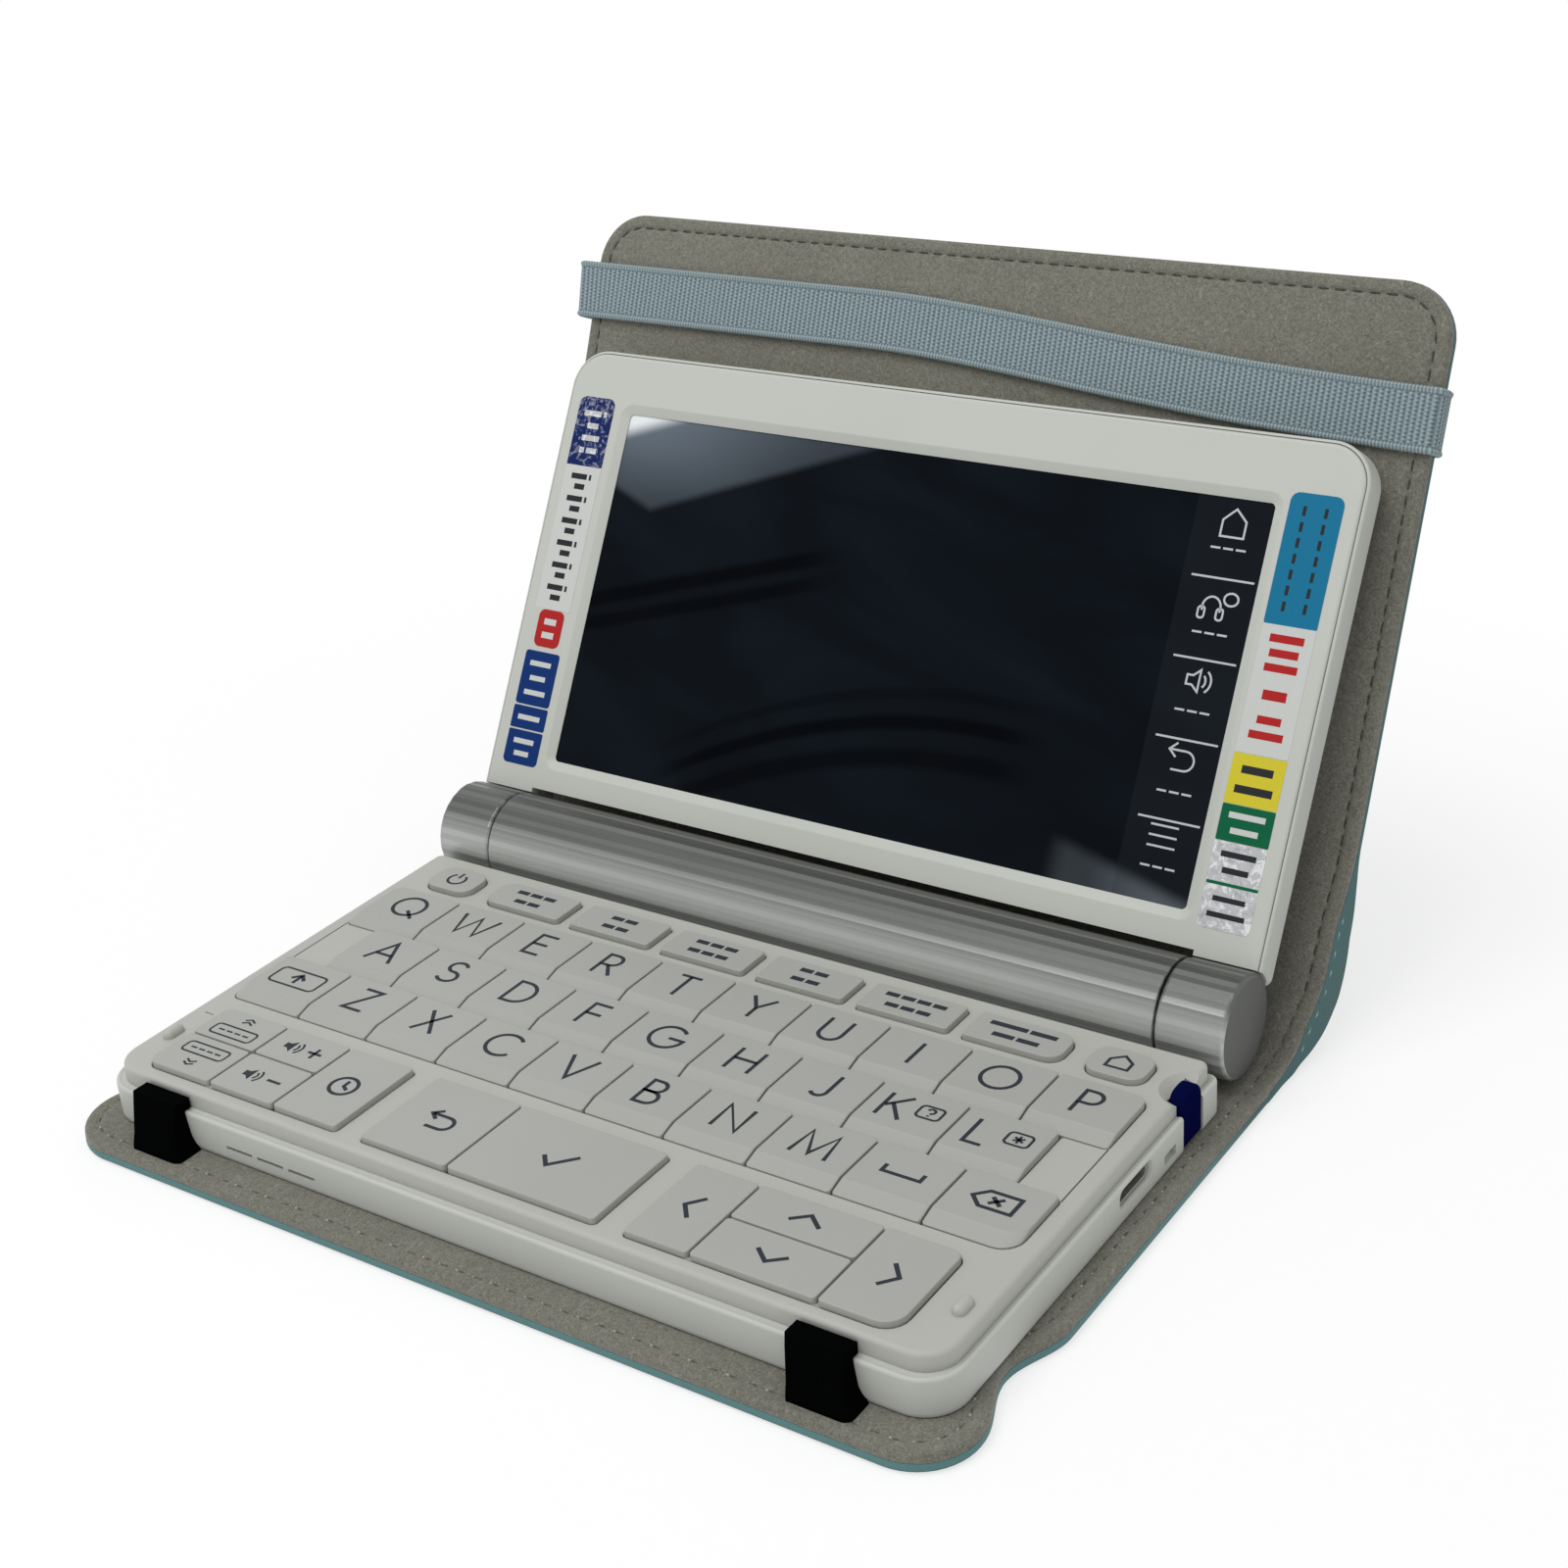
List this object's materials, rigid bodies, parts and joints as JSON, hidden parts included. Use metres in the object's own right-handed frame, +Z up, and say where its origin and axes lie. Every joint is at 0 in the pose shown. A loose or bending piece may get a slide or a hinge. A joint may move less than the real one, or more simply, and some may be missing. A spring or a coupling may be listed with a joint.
{
  "type": "electronic dictionary in a folio case",
  "caption": "Clamshell electronic dictionary with keyboard, battery barrel hinge, screen lid and side stylus, clipped in a folding folio case with an elastic band.",
  "frame": {"origin": "centre of the case's base panel on its underside", "axes": "+X to the right of a person facing the screen, +Y to the back, +Z up"},
  "size_m": [0.1638, 0.1596, 0.1073],
  "materials": {
    "white_plastic": "fine matte moulding",
    "key_plastic": "satin",
    "silver_plastic": "satin silver paint on a ribbed moulding",
    "screen_glass": "polished, near black behind",
    "stylus_plastic": "satin",
    "circuit_board": "solder mask and rubber sheet",
    "cells": "printed sleeve",
    "clip_plastic": "fine grain",
    "case_suede": "brushed suede over board, leather outside",
    "case_leather": "fine grain",
    "elastic": "ribbed weave"
  },
  "bodies": {
    "base": {"lower_case": "white_plastic", "key_deck": "white_plastic", "main_board": "circuit_board", "battery_barrel": "silver_plastic", "battery_door": "silver_plastic", "battery_pair": "cells", "left_clip": "clip_plastic", "right_clip": "clip_plastic", "case_base_panel": "case_suede"},
    "lid": {"lid_back_cover": "white_plastic", "lid_bezel": "white_plastic", "display_module": "screen_glass", "left_hinge_cap": "silver_plastic", "right_hinge_cap": "silver_plastic"},
    "spine": {"case_spine": "case_leather"},
    "cover": {"case_back_panel": "case_suede", "elastic_band": "elastic"},
    "stylus": {"stylus": "stylus_plastic"},
    "shift_key": {"shift_key": "key_plastic"},
    "key_z": {"key_z": "key_plastic"},
    "key_x": {"key_x": "key_plastic"},
    "key_c": {"key_c": "key_plastic"},
    "key_v": {"key_v": "key_plastic"},
    "key_b": {"key_b": "key_plastic"},
    "key_n": {"key_n": "key_plastic"},
    "key_m": {"key_m": "key_plastic"},
    "space_key": {"space_key": "key_plastic"},
    "delete_key": {"delete_key": "key_plastic"},
    "key_a": {"key_a": "key_plastic"},
    "key_s": {"key_s": "key_plastic"},
    "key_d": {"key_d": "key_plastic"},
    "key_f": {"key_f": "key_plastic"},
    "key_g": {"key_g": "key_plastic"},
    "key_h": {"key_h": "key_plastic"},
    "key_j": {"key_j": "key_plastic"},
    "key_k": {"key_k": "key_plastic"},
    "key_l": {"key_l": "key_plastic"},
    "key_q": {"key_q": "key_plastic"},
    "key_w": {"key_w": "key_plastic"},
    "key_e": {"key_e": "key_plastic"},
    "key_r": {"key_r": "key_plastic"},
    "key_t": {"key_t": "key_plastic"},
    "key_y": {"key_y": "key_plastic"},
    "key_u": {"key_u": "key_plastic"},
    "key_i": {"key_i": "key_plastic"},
    "key_o": {"key_o": "key_plastic"},
    "key_p": {"key_p": "key_plastic"},
    "power_key": {"power_key": "key_plastic"},
    "home_key": {"home_key": "key_plastic"},
    "shortcut_key_1": {"shortcut_key_1": "key_plastic"},
    "shortcut_key_2": {"shortcut_key_2": "key_plastic"},
    "shortcut_key_3": {"shortcut_key_3": "key_plastic"},
    "shortcut_key_4": {"shortcut_key_4": "key_plastic"},
    "shortcut_key_5": {"shortcut_key_5": "key_plastic"},
    "shortcut_key_6": {"shortcut_key_6": "key_plastic"},
    "entry_volume_pad": {"entry_volume_pad": "key_plastic"},
    "history_key": {"history_key": "key_plastic"},
    "back_key": {"back_key": "key_plastic"},
    "enter_key": {"enter_key": "key_plastic"},
    "arrow_pad": {"arrow_pad": "key_plastic"}
  },
  "joints": [
    {"name": "lid_hinge", "type": "hinge", "parent": "base", "child": "lid", "pos_m": [0, 0.0429, 0.01248], "axis": [1, 0, 0], "range_deg": [0, 119.7]},
    {"name": "spine_fold", "type": "hinge", "parent": "base", "child": "spine", "pos_m": [0, 0.0521, 0.003], "axis": [1, 0, 0], "range_deg": [0, 43.15]},
    {"name": "cover_fold", "type": "hinge", "parent": "spine", "child": "cover", "pos_m": [0, 0.06501, 0.0168], "axis": [1, 0, 0], "range_deg": [0, 70.65]},
    {"name": "stylus_slide", "type": "slide", "parent": "base", "child": "stylus", "axis": [1, 0, 0], "range_m": [0, 0.086]},
    {"name": "shift_key_press", "type": "slide", "parent": "base", "child": "shift_key", "axis": [0, 0, 1], "range_m": [-0.0007, 0], "stiffness_N_per_m": 300},
    {"name": "key_z_press", "type": "slide", "parent": "base", "child": "key_z", "axis": [0, 0, 1], "range_m": [-0.0007, 0], "stiffness_N_per_m": 300},
    {"name": "key_x_press", "type": "slide", "parent": "base", "child": "key_x", "axis": [0, 0, 1], "range_m": [-0.0007, 0], "stiffness_N_per_m": 300},
    {"name": "key_c_press", "type": "slide", "parent": "base", "child": "key_c", "axis": [0, 0, 1], "range_m": [-0.0007, 0], "stiffness_N_per_m": 300},
    {"name": "key_v_press", "type": "slide", "parent": "base", "child": "key_v", "axis": [0, 0, 1], "range_m": [-0.0007, 0], "stiffness_N_per_m": 300},
    {"name": "key_b_press", "type": "slide", "parent": "base", "child": "key_b", "axis": [0, 0, 1], "range_m": [-0.0007, 0], "stiffness_N_per_m": 300},
    {"name": "key_n_press", "type": "slide", "parent": "base", "child": "key_n", "axis": [0, 0, 1], "range_m": [-0.0007, 0], "stiffness_N_per_m": 300},
    {"name": "key_m_press", "type": "slide", "parent": "base", "child": "key_m", "axis": [0, 0, 1], "range_m": [-0.0007, 0], "stiffness_N_per_m": 300},
    {"name": "space_key_press", "type": "slide", "parent": "base", "child": "space_key", "axis": [0, 0, 1], "range_m": [-0.0007, 0], "stiffness_N_per_m": 300},
    {"name": "delete_key_press", "type": "slide", "parent": "base", "child": "delete_key", "axis": [0, 0, 1], "range_m": [-0.0007, 0], "stiffness_N_per_m": 300},
    {"name": "key_a_press", "type": "slide", "parent": "base", "child": "key_a", "axis": [0, 0, 1], "range_m": [-0.0007, 0], "stiffness_N_per_m": 300},
    {"name": "key_s_press", "type": "slide", "parent": "base", "child": "key_s", "axis": [0, 0, 1], "range_m": [-0.0007, 0], "stiffness_N_per_m": 300},
    {"name": "key_d_press", "type": "slide", "parent": "base", "child": "key_d", "axis": [0, 0, 1], "range_m": [-0.0007, 0], "stiffness_N_per_m": 300},
    {"name": "key_f_press", "type": "slide", "parent": "base", "child": "key_f", "axis": [0, 0, 1], "range_m": [-0.0007, 0], "stiffness_N_per_m": 300},
    {"name": "key_g_press", "type": "slide", "parent": "base", "child": "key_g", "axis": [0, 0, 1], "range_m": [-0.0007, 0], "stiffness_N_per_m": 300},
    {"name": "key_h_press", "type": "slide", "parent": "base", "child": "key_h", "axis": [0, 0, 1], "range_m": [-0.0007, 0], "stiffness_N_per_m": 300},
    {"name": "key_j_press", "type": "slide", "parent": "base", "child": "key_j", "axis": [0, 0, 1], "range_m": [-0.0007, 0], "stiffness_N_per_m": 300},
    {"name": "key_k_press", "type": "slide", "parent": "base", "child": "key_k", "axis": [0, 0, 1], "range_m": [-0.0007, 0], "stiffness_N_per_m": 300},
    {"name": "key_l_press", "type": "slide", "parent": "base", "child": "key_l", "axis": [0, 0, 1], "range_m": [-0.0007, 0], "stiffness_N_per_m": 300},
    {"name": "key_q_press", "type": "slide", "parent": "base", "child": "key_q", "axis": [0, 0, 1], "range_m": [-0.0007, 0], "stiffness_N_per_m": 300},
    {"name": "key_w_press", "type": "slide", "parent": "base", "child": "key_w", "axis": [0, 0, 1], "range_m": [-0.0007, 0], "stiffness_N_per_m": 300},
    {"name": "key_e_press", "type": "slide", "parent": "base", "child": "key_e", "axis": [0, 0, 1], "range_m": [-0.0007, 0], "stiffness_N_per_m": 300},
    {"name": "key_r_press", "type": "slide", "parent": "base", "child": "key_r", "axis": [0, 0, 1], "range_m": [-0.0007, 0], "stiffness_N_per_m": 300},
    {"name": "key_t_press", "type": "slide", "parent": "base", "child": "key_t", "axis": [0, 0, 1], "range_m": [-0.0007, 0], "stiffness_N_per_m": 300},
    {"name": "key_y_press", "type": "slide", "parent": "base", "child": "key_y", "axis": [0, 0, 1], "range_m": [-0.0007, 0], "stiffness_N_per_m": 300},
    {"name": "key_u_press", "type": "slide", "parent": "base", "child": "key_u", "axis": [0, 0, 1], "range_m": [-0.0007, 0], "stiffness_N_per_m": 300},
    {"name": "key_i_press", "type": "slide", "parent": "base", "child": "key_i", "axis": [0, 0, 1], "range_m": [-0.0007, 0], "stiffness_N_per_m": 300},
    {"name": "key_o_press", "type": "slide", "parent": "base", "child": "key_o", "axis": [0, 0, 1], "range_m": [-0.0007, 0], "stiffness_N_per_m": 300},
    {"name": "key_p_press", "type": "slide", "parent": "base", "child": "key_p", "axis": [0, 0, 1], "range_m": [-0.0007, 0], "stiffness_N_per_m": 300},
    {"name": "power_key_press", "type": "slide", "parent": "base", "child": "power_key", "axis": [0, 0, 1], "range_m": [-0.0007, 0], "stiffness_N_per_m": 300},
    {"name": "home_key_press", "type": "slide", "parent": "base", "child": "home_key", "axis": [0, 0, 1], "range_m": [-0.0007, 0], "stiffness_N_per_m": 300},
    {"name": "shortcut_key_1_press", "type": "slide", "parent": "base", "child": "shortcut_key_1", "axis": [0, 0, 1], "range_m": [-0.0007, 0], "stiffness_N_per_m": 300},
    {"name": "shortcut_key_2_press", "type": "slide", "parent": "base", "child": "shortcut_key_2", "axis": [0, 0, 1], "range_m": [-0.0007, 0], "stiffness_N_per_m": 300},
    {"name": "shortcut_key_3_press", "type": "slide", "parent": "base", "child": "shortcut_key_3", "axis": [0, 0, 1], "range_m": [-0.0007, 0], "stiffness_N_per_m": 300},
    {"name": "shortcut_key_4_press", "type": "slide", "parent": "base", "child": "shortcut_key_4", "axis": [0, 0, 1], "range_m": [-0.0007, 0], "stiffness_N_per_m": 300},
    {"name": "shortcut_key_5_press", "type": "slide", "parent": "base", "child": "shortcut_key_5", "axis": [0, 0, 1], "range_m": [-0.0007, 0], "stiffness_N_per_m": 300},
    {"name": "shortcut_key_6_press", "type": "slide", "parent": "base", "child": "shortcut_key_6", "axis": [0, 0, 1], "range_m": [-0.0007, 0], "stiffness_N_per_m": 300},
    {"name": "entry_volume_pad_press", "type": "slide", "parent": "base", "child": "entry_volume_pad", "axis": [0, 0, 1], "range_m": [-0.0007, 0], "stiffness_N_per_m": 300},
    {"name": "history_key_press", "type": "slide", "parent": "base", "child": "history_key", "axis": [0, 0, 1], "range_m": [-0.0007, 0], "stiffness_N_per_m": 300},
    {"name": "back_key_press", "type": "slide", "parent": "base", "child": "back_key", "axis": [0, 0, 1], "range_m": [-0.0007, 0], "stiffness_N_per_m": 300},
    {"name": "enter_key_press", "type": "slide", "parent": "base", "child": "enter_key", "axis": [0, 0, 1], "range_m": [-0.0007, 0], "stiffness_N_per_m": 300},
    {"name": "arrow_pad_press", "type": "slide", "parent": "base", "child": "arrow_pad", "axis": [0, 0, 1], "range_m": [-0.0007, 0], "stiffness_N_per_m": 300}
  ],
  "couplings": [
    {"joint": "spine_fold", "follows": "lid_hinge", "ratio": 0.36007},
    {"joint": "cover_fold", "follows": "lid_hinge", "ratio": 0.58981}
  ]
}
